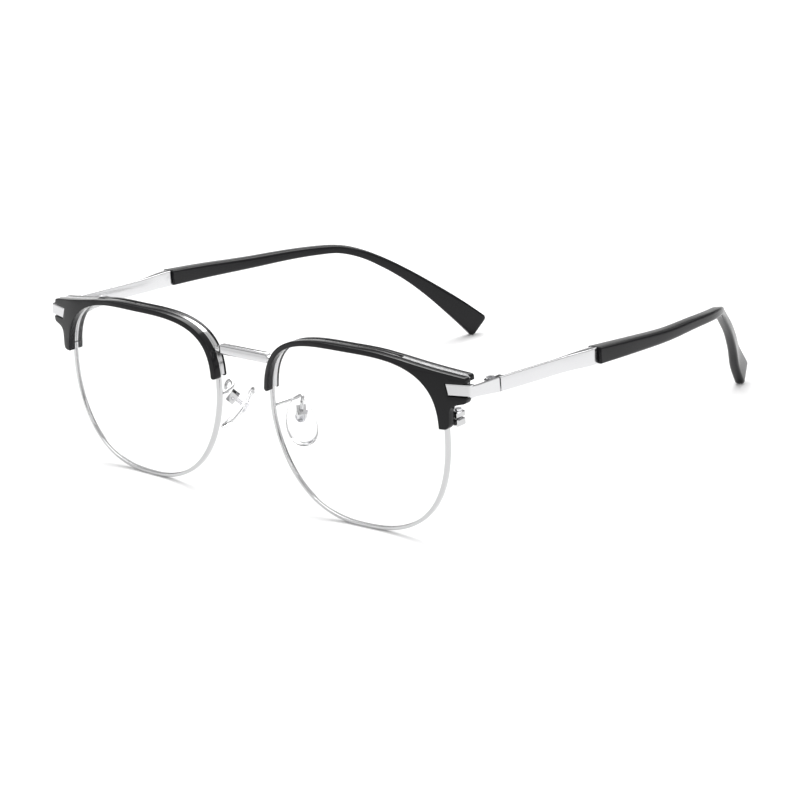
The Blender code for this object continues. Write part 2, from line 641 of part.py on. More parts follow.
def build():
    black = material("black_acetate", (0.006, 0.006, 0.007), 0.12, 0.0)
    silver = material("silver_metal", (0.82, 0.82, 0.83), 0.18, 1.0)
    clear = material("clear_lens", (0.95, 0.97, 0.98), 0.02, 0.0, 0.2)
    soft = material("clear_silicone", (0.93, 0.94, 0.95), 0.2, 0.0, 0.5)
    steel = material("screw_steel", (0.6, 0.6, 0.62), 0.25, 1.0)
    emit("bridge", bridge(), silver)
    for tag, side in SIDES:
        emit("eyewire_" + tag, eyewire(), silver, side)
        emit("lens_" + tag, lens(), clear, side)
        emit("brow_front_" + tag, brow_front(), black, side)
        emit("brow_rear_" + tag, brow_rear(), black, side)
        emit("endpiece_" + tag, endpiece(), silver, side)
        emit("lock_upper_" + tag, lock_block(LOCK_SLIT_Z + LOCK_SLIT / 2, LOCK_TOP_Z), silver, side)
        emit("lock_lower_" + tag, lock_block(LOCK_LOW_Z, LOCK_SLIT_Z - LOCK_SLIT / 2), silver, side)
        emit("lock_screw_" + tag, lock_screw(), steel, side)
        pad_arm("pad_arm_" + tag, silver, side)
        emit("pad_box_" + tag, pad_box(), silver, side)
        emit("pad_screw_" + tag, pad_screw(), steel, side)
        emit("nose_pad_" + tag, nose_pad(), soft, side, PIVOT)
        emit("hinge_screw_" + tag, hinge_screw(), steel, side)
        emit("hinge_case_" + tag, hinge_case(), silver, side, HINGE_AXIS)
        emit("temple_" + tag, side_bar(TEMPLE_STATIONS), silver, side, HINGE_AXIS)
        emit("temple_tip_" + tag, temple_tip(), black, side, HINGE_AXIS)
    seat()


clear_scene()
COLLECTION = bpy.data.collections.new("browline_glasses")
bpy.context.scene.collection.children.link(COLLECTION)
build()
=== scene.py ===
"""Visual model of half rim (browline) eyeglasses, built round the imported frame."""
import math

import bmesh
import bpy
from mathutils import Matrix, Vector


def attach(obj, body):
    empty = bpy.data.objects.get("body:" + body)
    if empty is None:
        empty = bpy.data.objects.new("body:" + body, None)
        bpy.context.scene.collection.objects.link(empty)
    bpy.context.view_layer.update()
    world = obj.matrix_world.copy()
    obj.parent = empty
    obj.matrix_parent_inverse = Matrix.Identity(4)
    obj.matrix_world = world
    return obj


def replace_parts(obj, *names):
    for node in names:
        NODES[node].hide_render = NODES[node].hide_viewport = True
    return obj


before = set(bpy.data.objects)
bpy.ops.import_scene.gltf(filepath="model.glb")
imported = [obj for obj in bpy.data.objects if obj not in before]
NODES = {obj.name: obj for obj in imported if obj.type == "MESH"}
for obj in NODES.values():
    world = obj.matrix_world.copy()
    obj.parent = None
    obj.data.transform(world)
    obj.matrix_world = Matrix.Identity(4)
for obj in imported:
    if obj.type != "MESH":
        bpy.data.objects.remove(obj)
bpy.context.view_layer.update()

MM = 0.001
SIDES = (("L", 1), ("R", -1))

# ---- dimensions, in millimetres unless named otherwise; most are the CAD part's own ----
SEAT = Vector((0.0, -71.0775, -0.0567))     # puts the middle of the footprint at the origin
LENS_WIDTH = 53.3
LENS_RISE = 17.1
LENS_DROP = 24.9
LENS_MIDDLE_X = 36.45
LENS_LEVEL_V = 21.5
TOP_NASAL_ROUNDNESS = 3.15
TOP_OUTER_ROUNDNESS = 2.85
LOW_NASAL_ROUNDNESS = (1.83, 2.25)
LOW_OUTER_ROUNDNESS = (2.2, 2.6)
FACE_RADIUS = 140.0
FACE_TILT = math.radians(7.1)
FACE_WRAP = math.radians(2.4)
FACE_ORIGIN = Vector((37.84, 2.99, 4.32))
WIRE_HEIGHT = 0.9
WIRE_DEPTH = 1.15
WIRE_ROUND = 0.16
GROOVE_DEPTH = 0.35
GROOVE_HALF = 0.32
LENS_THICKNESS = 1.0
LENS_INSET = 0.3
LENS_SEAT = 0.1
LENS_POINTS = 128
LENS_SHARES = (0.08, 0.25, 0.5, 0.75, 0.92, 1.0)    # rings from the middle to the edge
WIRE_STEPS = 260
LINER_STEPS = 90
BROW_REAR_DEPTH = 1.3
BROW_FRONT_LEG = 1.5
BROW_REAR_LEG = 1.1
BROW_FRONT_LAYER = (-1.55, 0.3)     # the rim is let into the back of the front piece
BROW_FRONT_BEVELS = (0.32, 0.1)     # of its front and its back rims
BROW_REAR_BEVELS = (0.1, 0.25)
BROW_STEPS = 110                    # along each long edge of a brow piece
BROW_TIP_SAG = 0.75                 # how far the nasal tip bulges, in half widths
BROW_OVERHANG = 0.22                # the front piece hides a little of the lens edge
BROW_FORWARD = 0.33                 # how far the front piece's temporal end comes forward
BROW_FORWARD_START_X = 50.0
BROW_FORWARD_RUN = 12.0
REAR_NASAL_DEPTH = 0.4              # the rear piece thins towards the nose
THINNING_START_X = 9.5
THINNING_RUN = 12.0
LINER_INNER = 0.12                  # the bright strip between the rim and the rear piece
LINER_SINK = 0.05                   # into the rim
LINER_RISE = 0.03                   # into the rear piece
BROW_NASAL_V = 25.2
BROW_OUTER_V = 23.6
BROW_TURN = math.pi / 2 - 0.62
TOP_LINE_START = Vector((49.0, 39.0))
TOP_LINE_END = Vector((70.4, 35.25))
STRAIGHT_X = 52.0
LAYER_GAP = 0.08
PLATE_TOP_V = 34.1
PLATE_CORNER = 0.25                 # radius where the upper horn meets the plate
HORN_CORNER = 0.9                   # radius of the upper horn's top corner
HORN_SLANT = 0.1
HORN_X = 69.9
REAR_HORN_X = 69.2
LOWER_HORN = ((64.8, 34.1, 0.0), (65.6, 31.3, 0.0), (70.5, 31.1, 0.5), (69.9, 29.7, 0.9),
              (65.9, 28.9, 2.2), (65.6, 23.6, 1.7))
REAR_LEG = ((64.1, 34.1, 0.8), (64.1, 23.6, 0.5))
BRIDGE_CENTRE = Vector((0.0, 4.95, 36.6))
BRIDGE_LEAN = 0.3                   # slope of the bar's upper front facet
BRIDGE_CORNER = 0.3                 # corner radius as a share of the smaller side
# x from the middle, depth, height and shift in y, from a rim to the middle of the bar
BRIDGE_STATIONS = (
    (9.4, 1.7, 1.1, -0.1), (8.5, 1.7, 1.1, -0.1), (8.25, 1.4, 1.5, -0.05),
    (8.1, 1.4, 2.0, 0.0), (7.9, 1.55, 2.35, 0.0), (7.5, 1.6, 2.5, 0.0), (2.5, 1.6, 2.5, 0.0))
LOCK_V = 25.4
LOCK_SLIT = 0.3
# y, outer face's x, thickness, top and low edge
TEMPLE_STATIONS = (
    (15.75, 71.7, 0.9, 38.75, 35.3), (26.0, 71.8, 0.9, 38.2, 34.6),
    (35.0, 71.95, 0.9, 37.7, 34.1), (38.5, 72.2, 1.1, 37.6, 33.9), (42.0, 72.9, 1.7, 37.55, 33.75),
    (45.0, 73.4, 2.0, 37.5, 33.5), (47.6, 73.5, 2.1, 37.4, 33.4))
TEMPLE_CORNER = 0.22
STATION_STEPS = 6                   # rings between two stations
# middle's x, y and z, thickness and height
TIP_STATIONS = (
    (72.6, 47.9, 35.45, 4.0, 4.0), (72.4, 60.0, 34.4, 3.8, 3.7), (71.4, 75.0, 33.0, 3.6, 3.1),
    (69.5, 88.2, 32.2, 3.4, 2.6), (67.7, 97.6, 31.4, 3.3, 2.3), (65.2, 104.5, 30.5, 2.9, 2.1),
    (61.8, 109.6, 28.5, 2.6, 2.2), (58.7, 115.0, 25.0, 2.4, 2.6), (55.6, 121.0, 20.3, 2.3, 3.1),
    (52.3, 126.7, 14.9, 2.4, 4.1), (48.8, 132.3, 8.9, 2.6, 5.6), (46.3, 138.1, 2.7, 2.6, 6.8))
TIP_FRONT_CORNER = 0.12             # corner radius as a share of the thickness
TIP_CORNER = 0.3
TIP_SOFTENING = 12                  # rings over which the corner grows from one to the other
# distance along the sleeve and size of the rings that round its two ends over
TIP_FRONT_END = ((0.0, 0.96), (0.08, 1.0))
TIP_REAR_END = ((0.0, 1.0), (0.45, 0.93), (0.7, 0.8))
PAD_CENTRE = Vector((11.0, 11.3, 19.6))
PAD_LONG = Vector((6.9, -5.0, -9.5)).normalized()
PAD_ACROSS = Vector((5.0, 6.9, 0.0)).normalized()
PAD_OUT = PAD_LONG.cross(PAD_ACROSS)
PAD_LENGTH = 13.2
PAD_WIDTH = 7.5
PAD_THICKNESS = 1.9
PAD_BOW = 1.1
PAD_POINTS = 64
PAD_EGG = 0.14                      # how much wider the pad's lower half is
PIVOT_OUT = 2.3
PIVOT_UP = 1.4
PIVOT = PAD_CENTRE + PAD_OUT * PIVOT_OUT - PAD_LONG * PIVOT_UP
CORE_INSET = 0.35                   # of the metal core's plate behind the pad's bowed face
CORE_STRETCH = 1.15
CORE_POINTS = 32
# radius and height above the plate, up the core and its stem
CORE_PROFILE = ((0.6, -0.25), (1.25, -0.15), (1.3, 0.0), (1.2, 0.2), (0.45, 0.3), (0.42, 1.6),
                (0.42, 2.6), (0.3, 3.0))
ARM_FOOT = (9.3, 20.7)              # x and v on the rim
ARM_REACH = 1.85                    # from the pivot to the arm's end
ARM_RADIUS = 0.42
# the arm's points, from its foot and from its end
ARM_LEAVING = ((0.0, 0.3, 0.0), (0.0, 0.9, 0.0), (0.35, 2.4, 0.1), (1.6, 5.4, 0.5))
ARM_ARRIVING = ((-0.2, 0.7, 2.9), (0.3, -0.1, 1.7), (0.0, 0.0, 0.0))
SMOOTH_ANGLE = math.radians(40)
SOFTENED_ANGLE = math.radians(35)   # edges of kept CAD pieces sharper than this are broken
SLAB_GRID = 1.5                     # cuts that let a flat slab follow the front's curve
SLAB_REACH = (((1, 0, 0), 73.0), ((0, 1, 0), 43.0))
LEVEL_TOLERANCE = 1e-6
CUT_TOLERANCE = 1e-5

# ---- camera: 44 degrees round towards the wearer's left, 17 degrees up, and its right --
# side dips 4.4 degrees. The eye is in millimetres, before the seat's shift.
EYE = Vector((496.837, -456.643, 233.470))
EYE_RIGHT = Vector((0.73248, 0.67683, -0.07329))
EYE_UP = Vector((-0.15145, 0.26696, 0.95173))
FOCAL_LENGTH = 133.2
SENSOR_WIDTH = 36.0

# ---- studio: height in the sky (the sine of the elevation) and grey level -------------
SKY_BOTTOM = (0.0, 1.0)
SKY_TOP = (1.0, 0.9)
SKY_BAND = ((0.14, 1.0), (0.22, 0.1), (0.36, 0.1), (0.46, 0.75))
# name, place, target and size in metres, power in watts
LAMPS = (("key", (-0.25, 0.35, 0.75), (0.0, 0.0, 0.0), 0.7, 6.3),
         ("fill", (0.7, -0.35, 0.5), (0.0, 0.0, 0.02), 0.5, 2.0))
FLOOR_HALF = 3.0


def add_camera():
    data = bpy.data.cameras.new("camera")
    data.sensor_width = SENSOR_WIDTH
    data.lens = FOCAL_LENGTH
    data.clip_start = 0.01
    camera = bpy.data.objects.new("camera", data)
    bpy.context.scene.collection.objects.link(camera)
    back = EYE_RIGHT.cross(EYE_UP)
    turn = Matrix((EYE_RIGHT, EYE_UP, back)).transposed().to_4x4()
    camera.matrix_world = Matrix.Translation((EYE + SEAT) * MM) @ turn
    bpy.context.scene.camera = camera


def add_area(name, place, target, size, power):
    """A square lamp that faces its target."""
    data = bpy.data.lights.new(name, "AREA")
    data.shape = "RECTANGLE"
    data.size = size
    data.size_y = size
    data.energy = power
    lamp = bpy.data.objects.new(name, data)
    bpy.context.scene.collection.objects.link(lamp)
    place, target = Vector(place), Vector(target)
    lamp.location = place
    lamp.rotation_euler = (target - place).to_track_quat("-Z", "Y").to_euler()


def add_studio():
    """A pale dome with a dark band low in the sky, two soft lamps and a pale floor."""
    world = bpy.data.worlds.new("studio")
    bpy.context.scene.world = world
    world.use_nodes = True
    tree = world.node_tree
    backdrop = tree.nodes["Background"]
    place = tree.nodes.new("ShaderNodeTexCoord")
    split = tree.nodes.new("ShaderNodeSeparateXYZ")
    ramp = tree.nodes.new("ShaderNodeValToRGB")
    tree.links.new(place.outputs["Generated"], split.inputs[0])
    tree.links.new(split.outputs["Z"], ramp.inputs[0])
    tree.links.new(ramp.outputs["Color"], backdrop.inputs["Color"])
    stops = ramp.color_ramp.elements
    for stop, (position, grey) in zip(stops, (SKY_BOTTOM, SKY_TOP)):
        stop.position, stop.color = position, (grey, grey, grey, 1.0)
    for position, grey in SKY_BAND:
        stops.new(position).color = (grey, grey, grey, 1.0)
    backdrop.inputs["Strength"].default_value = 1.0
    for lamp in LAMPS:
        add_area(*lamp)
    bpy.context.scene.view_settings.view_transform = "Standard"
    bm = bmesh.new()
    bmesh.ops.create_grid(bm, x_segments=1, y_segments=1, size=FLOOR_HALF)
    mesh = bpy.data.meshes.new("floor")
    bm.to_mesh(mesh)
    bm.free()
    floor = bpy.data.objects.new("floor", mesh)
    bpy.context.scene.collection.objects.link(floor)
    look = bpy.data.materials.new("floor")
    look.use_nodes = True
    shader = look.node_tree.nodes["Principled BSDF"]
    shader.inputs["Base Color"].default_value = (0.93, 0.93, 0.93, 1.0)
    shader.inputs["Roughness"].default_value = 0.6
    shader.inputs["Specular IOR Level"].default_value = 0.2
    mesh.materials.append(look)


# ---- materials -----------------------------------------------------------------------
def shaded(name, colour, roughness, metallic=0.0):
    made = bpy.data.materials.new(name)
    made.use_nodes = True
    shader = made.node_tree.nodes["Principled BSDF"]
    shader.inputs["Base Color"].default_value = (*colour, 1.0)
    shader.inputs["Roughness"].default_value = roughness
    shader.inputs["Metallic"].default_value = metallic
    return made, made.node_tree, shader


def noise(tree, scale, detail, stretch=(1.0, 1.0, 1.0)):
    """Noise in the part's own metres, so its grain has a real size."""
    place = tree.nodes.new("ShaderNodeTexCoord")
    mapping = tree.nodes.new("ShaderNodeMapping")
    mapping.inputs["Scale"].default_value = stretch
    grain = tree.nodes.new("ShaderNodeTexNoise")
    grain.inputs["Scale"].default_value = scale
    grain.inputs["Detail"].default_value = detail
    tree.links.new(place.outputs["Object"], mapping.inputs["Vector"])
    tree.links.new(mapping.outputs["Vector"], grain.inputs["Vector"])
    return grain.outputs["Fac"]


def ramped(tree, source, low, high):
    """Spread a 0 to 1 value between two numbers."""
    ramp = tree.nodes.new("ShaderNodeMapRange")
    ramp.inputs["To Min"].default_value = low
    ramp.inputs["To Max"].default_value = high
    tree.links.new(source, ramp.inputs["Value"])
    return ramp.outputs["Result"]


def bumped(tree, shader, source, distance):
    bump = tree.nodes.new("ShaderNodeBump")
    bump.inputs["Distance"].default_value = distance
    bump.inputs["Strength"].default_value = 1.0
    tree.links.new(source, bump.inputs["Height"])
    tree.links.new(bump.outputs["Normal"], shader.inputs["Normal"])


def polished_metal(name, colour, roughness, stretch=(1.0, 1.0, 1.0)):
    """Bright plating with faint polishing marks."""
    made, tree, shader = shaded(name, colour, roughness, 1.0)
    marks = noise(tree, 900.0, 4.0, stretch)
    gloss = ramped(tree, marks, roughness * 0.7, roughness * 1.5)
    tree.links.new(gloss, shader.inputs["Roughness"])
    bumped(tree, shader, noise(tree, 500.0, 2.0, stretch), 0.004 * MM)
    return made


def black_plastic(name, roughness):
    """Polished black acetate: deep, with a slight unevenness from tumbling."""
    made, tree, shader = shaded(name, (0.005, 0.005, 0.006), roughness)
    shader.inputs["Specular IOR Level"].default_value = 0.24
    gloss = ramped(tree, noise(tree, 260.0, 3.0), roughness * 0.8, roughness * 1.25)
    tree.links.new(gloss, shader.inputs["Roughness"])
    bumped(tree, shader, noise(tree, 180.0, 2.0), 0.01 * MM)
    return made


def clear_lens():
    """Demo lens: almost all of the light goes straight through, with a faint gloss."""
    made, tree, shader = shaded("lens_clear", (0.97, 0.985, 0.99), 0.03)
    shader.inputs["IOR"].default_value = 1.5
    alpha = ramped(tree, noise(tree, 40.0, 1.0), 0.035, 0.05)
    tree.links.new(alpha, shader.inputs["Alpha"])
    return made


def clear_silicone():
    """Soft clear pad that shows mostly by its darker edges."""
    made, tree, shader = shaded("silicone_clear", (0.97, 0.975, 0.98), 0.08)
    shader.inputs["IOR"].default_value = 1.41
    shader.inputs["Transmission Weight"].default_value = 1.0
    gloss = ramped(tree, noise(tree, 400.0, 2.0), 0.04, 0.12)
    tree.links.new(gloss, shader.inputs["Roughness"])
    bumped(tree, shader, noise(tree, 350.0, 2.0), 0.006 * MM)
    return made


# ---- shape helpers -------------------------------------------------------------------
def finish_piece(name, bm, look, body, side=1):
    """Scale a bmesh from millimetres, mirror it where side is -1, and ride it on a body."""
    for vert in bm.verts:
        vert.co = (vert.co + SEAT) * MM
        vert.co.x *= side
    bmesh.ops.recalc_face_normals(bm, faces=bm.faces)
    if bm.calc_volume(signed=True) < 0:
        bmesh.ops.reverse_faces(bm, faces=bm.faces)
    mesh = bpy.data.meshes.new(name)
    bm.to_mesh(mesh)
    bm.free()
    mesh.shade_smooth()
    mesh.set_sharp_from_angle(angle=SMOOTH_ANGLE)
    mesh.materials.append(look)
    made = bpy.data.objects.new(name, mesh)
    bpy.context.scene.collection.objects.link(made)
    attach(made, body)
    return made


def clamped(x, start, run):
    """Share of the way from start along a run, held between 0 and 1."""
    return min(max((x - start) / run, 0.0), 1.0)


def loft(rings):
    """Skin a row of equal rings and close both ends."""
    bm = bmesh.new()
    rows = [[bm.verts.new(point) for point in ring] for ring in rings]
    count = len(rows[0])
    for here, there in zip(rows, rows[1:]):
        for i in range(count):
            j = (i + 1) % count
            bm.faces.new((here[i], here[j], there[j], there[i]))
    bm.faces.new(rows[0])
    bm.faces.new(tuple(reversed(rows[-1])))
    return bm


def rounded_rectangle(width, height, radius, steps=4):
    """Points round a rectangle with arcs for corners, centred on the origin."""
    points = []
    for sign_x, sign_y, start in ((1, 1, 0), (-1, 1, 90), (-1, -1, 180), (1, -1, 270)):
        centre = Vector((sign_x * (width / 2 - radius), sign_y * (height / 2 - radius)))
        for step in range(steps + 1):
            angle = math.radians(start + 90 * step / steps)
            points.append((centre.x + radius * math.cos(angle),
                           centre.y + radius * math.sin(angle)))
    return points


def placed_ring(points, centre, across, up, shrink=1.0):
    return [centre + across * x * shrink + up * y * shrink for x, y in points]


def smooth_rows(rows, pieces):
    """Catmull-Rom interpolation of rows of numbers."""
    out = []
    for i in range(len(rows) - 1):
        four = rows[max(i - 1, 0)], rows[i], rows[i + 1], rows[min(i + 2, len(rows) - 1)]
        for step in range(pieces):
            t = step / pieces
            out.append([0.5 * (2 * q + (r - p) * t + (2 * p - 5 * q + 4 * r - s) * t * t
                               + (3 * q - p - 3 * r + s) * t ** 3)
                        for p, q, r, s in zip(*four)])
    out.append(list(rows[-1]))
    return out


def rounded(points, steps=8):
    """An outline from (x, v, radius) corners, with each corner turned into an arc."""
    outline = []
    count = len(points)
    for i, (x, v, radius) in enumerate(points):
        if not radius:
            outline.append((x, v))
            continue
        corner = Vector((x, v))
        before = Vector(points[i - 1][:2]) - corner
        after = Vector(points[(i + 1) % count][:2]) - corner
        reach = radius / math.tan(before.angle(after) / 2)
        reach = min(reach, before.length * 0.49, after.length * 0.49)
        first = corner + before.normalized() * reach
        last = corner + after.normalized() * reach
        for step in range(steps + 1):
            t = step / steps
            point = first * (1 - t) ** 2 + corner * 2 * t * (1 - t) + last * t ** 2
            outline.append((point.x, point.y))
    return outline


# ---- the front's own coordinates: x outward, v up the front, w back from the wire -----
def on_front(x, v, w):
    u = x - FACE_ORIGIN.x
    sag = (u * u + v * v) / (2 * FACE_RADIUS)
    back = u * math.sin(FACE_WRAP) + sag * math.cos(FACE_WRAP)
    return Vector((
        FACE_ORIGIN.x + u * math.cos(FACE_WRAP) - (sag + w) * math.sin(FACE_WRAP),
        FACE_ORIGIN.y - v * math.sin(FACE_TILT) + back * math.cos(FACE_TILT)
        + w * math.cos(FACE_WRAP),
        FACE_ORIGIN.z + v * math.cos(FACE_TILT) + back * math.sin(FACE_TILT),
    ))


def opening(angle):
    """The rim opening, a superellipse with its own power for each quarter."""
    across, up = math.cos(angle), math.sin(angle)
    if up >= 0:
        power = TOP_OUTER_ROUNDNESS if across >= 0 else TOP_NASAL_ROUNDNESS
        height = LENS_RISE
    else:
        side, base = LOW_OUTER_ROUNDNESS if across >= 0 else LOW_NASAL_ROUNDNESS
        power = side + (base - side) * abs(up)
        height = LENS_DROP
    reach = (abs(across) ** power + abs(up) ** power) ** (-1 / power)
    return Vector((LENS_MIDDLE_X + LENS_WIDTH / 2 * reach * across,
                   LENS_LEVEL_V + height * reach * up))


def lens_edge(angle, offset):
    """The opening's edge, moved outward by the offset."""
    along = opening(angle + 0.01) - opening(angle - 0.01)
    outward = Vector((along.y, -along.x)).normalized()
    return opening(angle) + outward * offset


def edge_run(start, end, steps, dense_steps=900):
    """Polar angles from start to end, evenly spaced along the opening's edge."""
    dense = [start + (end - start) * i / dense_steps for i in range(dense_steps + 1)]
    points = [opening(angle) for angle in dense]
    length = [0.0]
    for before, after in zip(points, points[1:]):
        length.append(length[-1] + (after - before).length)
    run = []
    k = 0
    for step in range(steps + 1):
        goal = length[-1] * step / steps
        while k < dense_steps - 1 and length[k + 1] < goal:
            k += 1
        part = min((goal - length[k]) / (length[k + 1] - length[k]), 1.0)
        run.append(dense[k] + (dense[k + 1] - dense[k]) * part)
    return run


def angle_at(level, nasal):
    """Polar angle where the opening's edge crosses a level, on its nasal or its outer side."""
    low, high = (math.pi / 2, 3 * math.pi / 2) if nasal else (-math.pi / 2, math.pi / 2)
    for _ in range(50):
        middle = (low + high) / 2
        if (opening(middle).y > level) == nasal:
            low = middle
        else:
            high = middle
    return (low + high) / 2


def slab(outline, low, high, front_bevel, rear_bevel, deepen):
    """A plate on the front whose rims are rounded over; deepen(x, w) gives the final depth."""
    bm = bmesh.new()
    face = bm.faces.new([bm.verts.new((x, v, low)) for x, v in outline])
    lifted = bmesh.ops.extrude_face_region(bm, geom=[face])
    tops = [item for item in lifted["geom"] if isinstance(item, bmesh.types.BMVert)]
    bmesh.ops.translate(bm, verts=tops, vec=(0.0, 0.0, high - low))
    bmesh.ops.recalc_face_normals(bm, faces=bm.faces)
    for level, width in ((low, front_bevel), (high, rear_bevel)):
        rims = [edge for edge in bm.edges
                if all(abs(vert.co.z - level) < LEVEL_TOLERANCE for vert in edge.verts)]
        bmesh.ops.bevel(bm, geom=rims, offset=width, segments=4, profile=0.5, affect="EDGES",
                        clamp_overlap=True)
    for direction, reach in SLAB_REACH:
        for step in range(1, int(reach / SLAB_GRID)):
            everything = bm.verts[:] + bm.edges[:] + bm.faces[:]
            place = Vector(direction) * step * SLAB_GRID
            bmesh.ops.bisect_plane(bm, geom=everything, plane_co=place, plane_no=direction,
                                   dist=CUT_TOLERANCE)
    for vert in bm.verts:
        x, v, w = vert.co
        vert.co = on_front(x, v, deepen(x, w))
    return bm


# ---- the front -----------------------------------------------------------------------
def eyewire():
    """A thin bar round the opening, with the lens groove inside and a slit at the lock."""
    section = [(x + WIRE_HEIGHT / 2, y + WIRE_DEPTH / 2)
               for x, y in rounded_rectangle(WIRE_HEIGHT, WIRE_DEPTH, WIRE_ROUND)]
    groove = [(0.0, WIRE_DEPTH / 2 + GROOVE_HALF), (GROOVE_DEPTH, WIRE_DEPTH / 2),
              (0.0, WIRE_DEPTH / 2 - GROOVE_HALF)]
    half = len(section) // 2
    section = section[:half] + groove + section[half:]
    start = angle_at(LOCK_V + LOCK_SLIT / 2, False)
    end = angle_at(LOCK_V - LOCK_SLIT / 2, False) + 2 * math.pi
    return loft([[on_front(*lens_edge(angle, across), deep) for across, deep in section]
                 for angle in edge_run(start, end, WIRE_STEPS)])


def lens():
    """A thin curved lens whose edge is bevelled into the groove."""
    middle = WIRE_DEPTH / 2
    centre = Vector((LENS_MIDDLE_X, LENS_LEVEL_V - (LENS_DROP - LENS_RISE) / 2))
    run = edge_run(0.0, 2 * math.pi, LENS_POINTS)[:-1]
    rings = []
    for half, row in ((-0.5, LENS_SHARES), (0.0, (1.0,)), (0.5, LENS_SHARES[::-1])):
        inset = LENS_SEAT if half == 0.0 else -LENS_INSET
        for share in row:
            points = [centre + (lens_edge(angle, inset) - centre) * share for angle in run]
            rings.append([on_front(*point, middle + half * LENS_THICKNESS) for point in points])
    return loft(rings)


def top_line(x):
    """Height of the straight part of the brow's top edge."""
    run = TOP_LINE_END - TOP_LINE_START
    return TOP_LINE_START.y + run.y * (x - TOP_LINE_START.x) / run.x


def brow_outline(leg, horn_x, low_corners, overhang=0.0):
    """Outline of a brow piece: along the rim, round the nasal tip, over the top and the horns."""
    nasal, outer = angle_at(BROW_NASAL_V, True), angle_at(BROW_OUTER_V, False)
    inside = [lens_edge(angle, -overhang * max(math.sin(angle), 0.0))
              for angle in edge_run(outer, nasal, BROW_STEPS)]
    outside = []
    for angle in edge_run(nasal, BROW_TURN, BROW_STEPS):
        share = clamped(angle, math.pi / 2, nasal - math.pi / 2)
        width = WIRE_HEIGHT + LAYER_GAP + (leg - WIRE_HEIGHT - LAYER_GAP) * share ** 2
        point = lens_edge(angle, width)
        if point.x < TOP_LINE_START.x - 1.0:
            outside.append(point)
    middle = (inside[-1] + outside[0]) / 2
    across = (outside[0] - inside[-1]) / 2
    down = Vector((0.0, -across.length * BROW_TIP_SAG))
    tip = [middle - across * math.cos(a) + down * math.sin(a) for a in
           (math.radians(d) for d in range(20, 180, 20))]
    corners = [(STRAIGHT_X, top_line(STRAIGHT_X), 0.0), (horn_x, top_line(horn_x), HORN_CORNER),
               (horn_x + HORN_SLANT, PLATE_TOP_V, PLATE_CORNER), *low_corners]
    inner = inside[0]
    corners.append((inner.x, inner.y - 0.1, 0.0))
    outline = [tuple(point) for point in inside + tip + outside]
    return outline + rounded(corners)[:-1]


def brow_front():
    outline = brow_outline(BROW_FRONT_LEG, HORN_X, LOWER_HORN, BROW_OVERHANG)
    return slab(outline, *BROW_FRONT_LAYER, *BROW_FRONT_BEVELS,
                lambda x, w: w - BROW_FORWARD * clamped(x, BROW_FORWARD_START_X, BROW_FORWARD_RUN))


def rear_share(x):
    """Share of the rear piece's full depth: it thins towards the nose."""
    share = clamped(x, THINNING_START_X, THINNING_RUN)
    return (REAR_NASAL_DEPTH + (BROW_REAR_DEPTH - REAR_NASAL_DEPTH) * share) / BROW_REAR_DEPTH


def brow_liner():
    """Bright strip between the rim and the thin nasal part of the rear brow."""
    inner, outer = LINER_INNER, WIRE_HEIGHT
    low, full = WIRE_DEPTH - LINER_SINK, WIRE_DEPTH + LAYER_GAP + BROW_REAR_DEPTH
    rings = []
    for angle in edge_run(angle_at(BROW_NASAL_V, True), math.pi / 2, LINER_STEPS):
        middle = lens_edge(angle, (inner + outer) / 2)
        high = full - BROW_REAR_DEPTH * rear_share(middle.x) + LINER_RISE
        section = ((inner, low), (outer, low), (outer, high), (inner, high))
        rings.append([on_front(*lens_edge(angle, across), deep) for across, deep in section])
    return loft(rings)


def brow_rear():
    outline = brow_outline(BROW_REAR_LEG, REAR_HORN_X, REAR_LEG)
    low = WIRE_DEPTH + LAYER_GAP
    high = low + BROW_REAR_DEPTH
    return slab(outline, low, high, *BROW_REAR_BEVELS,
                lambda x, w: high - (high - w) * rear_share(x))


def bridge():
    """A softly edged bar that steps down to a thinner neck at each rim."""
    rows = [(-x, *rest) for x, *rest in BRIDGE_STATIONS] + list(reversed(BRIDGE_STATIONS))
    rings = []
    for x, depth, height, back in rows:
        centre = BRIDGE_CENTRE + Vector((x, back, 0.0))
        ring = [(a + BRIDGE_LEAN * max(b, 0.0), b) for a, b in
                rounded_rectangle(depth, height, min(depth, height) * BRIDGE_CORNER, 5)]
        rings.append(placed_ring(ring, centre, Vector((0, 1, 0)), Vector((0, 0, 1))))
    return loft(rings)


def temple():
    """A flat metal bar that swells towards the sleeve."""
    rings = []
    for y, outer, thick, top, low in smooth_rows(TEMPLE_STATIONS, STATION_STEPS):
        centre = Vector((outer - thick / 2, y, (top + low) / 2))
        ring = rounded_rectangle(thick, top - low, TEMPLE_CORNER, 3)
        rings.append(placed_ring(ring, centre, Vector((1, 0, 0)), Vector((0, 0, 1))))
    return loft(rings)


def temple_tip():
    """The black sleeve that bends down behind the ear and widens into a paddle."""
    rows = smooth_rows(TIP_STATIONS, STATION_STEPS)
    middles = [Vector(row[:3]) for row in rows]
    ends = {0: TIP_FRONT_END, len(rows) - 1: TIP_REAR_END}
    rings = []
    for i, (*_, thick, height) in enumerate(rows):
        before, after = middles[max(i - 1, 0)], middles[min(i + 1, len(middles) - 1)]
        along = Vector((0, 1, 0)) if i == 0 else (after - before).normalized()
        across = along.cross(Vector((0, 0, 1))).normalized()
        share = min(i / TIP_SOFTENING, 1.0)
        softness = TIP_FRONT_CORNER + (TIP_CORNER - TIP_FRONT_CORNER) * share
        ring = rounded_rectangle(thick, height, min(thick, height) * softness, 5)
        up = across.cross(along)
        for step, shrink in ends.get(i, ((0.0, 1.0),)):
            rings.append(placed_ring(ring, middles[i] + along * step, across, up, shrink))
    return loft(rings)


